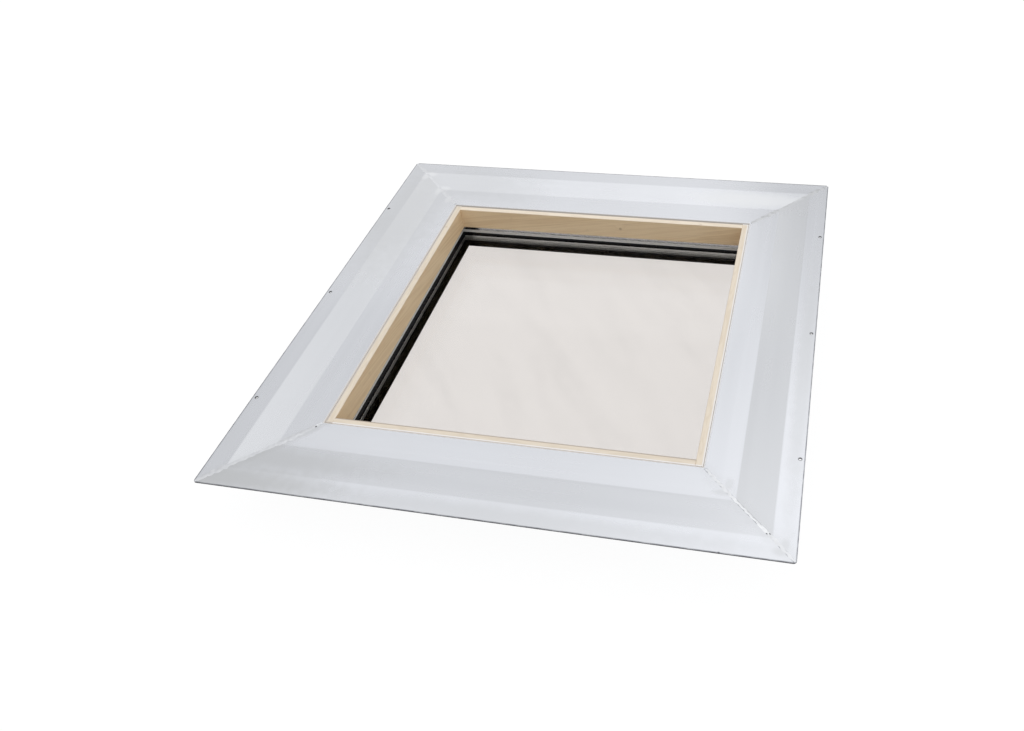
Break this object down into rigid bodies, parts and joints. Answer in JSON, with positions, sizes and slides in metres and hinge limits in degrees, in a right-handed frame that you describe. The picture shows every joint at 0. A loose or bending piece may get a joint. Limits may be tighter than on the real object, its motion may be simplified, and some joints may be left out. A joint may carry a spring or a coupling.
{
  "type": "roof skylight",
  "caption": "Square fixed roof skylight with a wide welded aluminium deck flange, wood-lined curb and double glazing held by a screwed cap, lying room side up.",
  "frame": {"origin": "centre of the base: the middle of the cap's outer face, on which the skylight lies room side up", "axes": "+Z towards the room side, X across and Y away along the square sides; on a roof the unit is turned over, with the flange's +Z face on the deck"},
  "size_m": [0.94, 0.94, 0.1075],
  "materials": {
    "sheet_aluminium": "mill finish, lightly streaked",
    "weld": "as welded, partly dressed",
    "liner_wood": "sanded, clear",
    "screw_steel": "plain",
    "glass": "clear float glass",
    "spacer_metal": "dull grey",
    "key_plastic": "moulded",
    "desiccant": "granular",
    "sealant": "black, slightly glossy",
    "glazing_tape": "black, matt",
    "rubber": "black, matt",
    "cap_aluminium": "satin"
  },
  "bodies": {
    "root": {"flashing_front": "sheet_aluminium", "flashing_right": "sheet_aluminium", "flashing_back": "sheet_aluminium", "flashing_left": "sheet_aluminium", "corner_welds": "weld", "liner_front": "liner_wood", "liner_right": "liner_wood", "liner_back": "liner_wood", "liner_left": "liner_wood", "liner_screws": "screw_steel", "room_pane": "glass", "weather_pane": "glass", "spacer_front": "spacer_metal", "spacer_right": "spacer_metal", "spacer_back": "spacer_metal", "spacer_left": "spacer_metal", "corner_keys": "key_plastic", "desiccant": "desiccant", "room_butyl": "sealant", "weather_butyl": "sealant", "edge_sealant": "sealant", "heel_bead": "sealant", "seat_tape_front": "glazing_tape", "seat_tape_right": "glazing_tape", "seat_tape_back": "glazing_tape", "seat_tape_left": "glazing_tape", "setting_blocks": "rubber", "cap_washers": "rubber", "cap_gasket_front": "rubber", "cap_gasket_right": "rubber", "cap_gasket_back": "rubber", "cap_gasket_left": "rubber", "cap_front": "cap_aluminium", "cap_right": "cap_aluminium", "cap_back": "cap_aluminium", "cap_left": "cap_aluminium", "cap_screws": "screw_steel"}
  },
  "joints": []
}
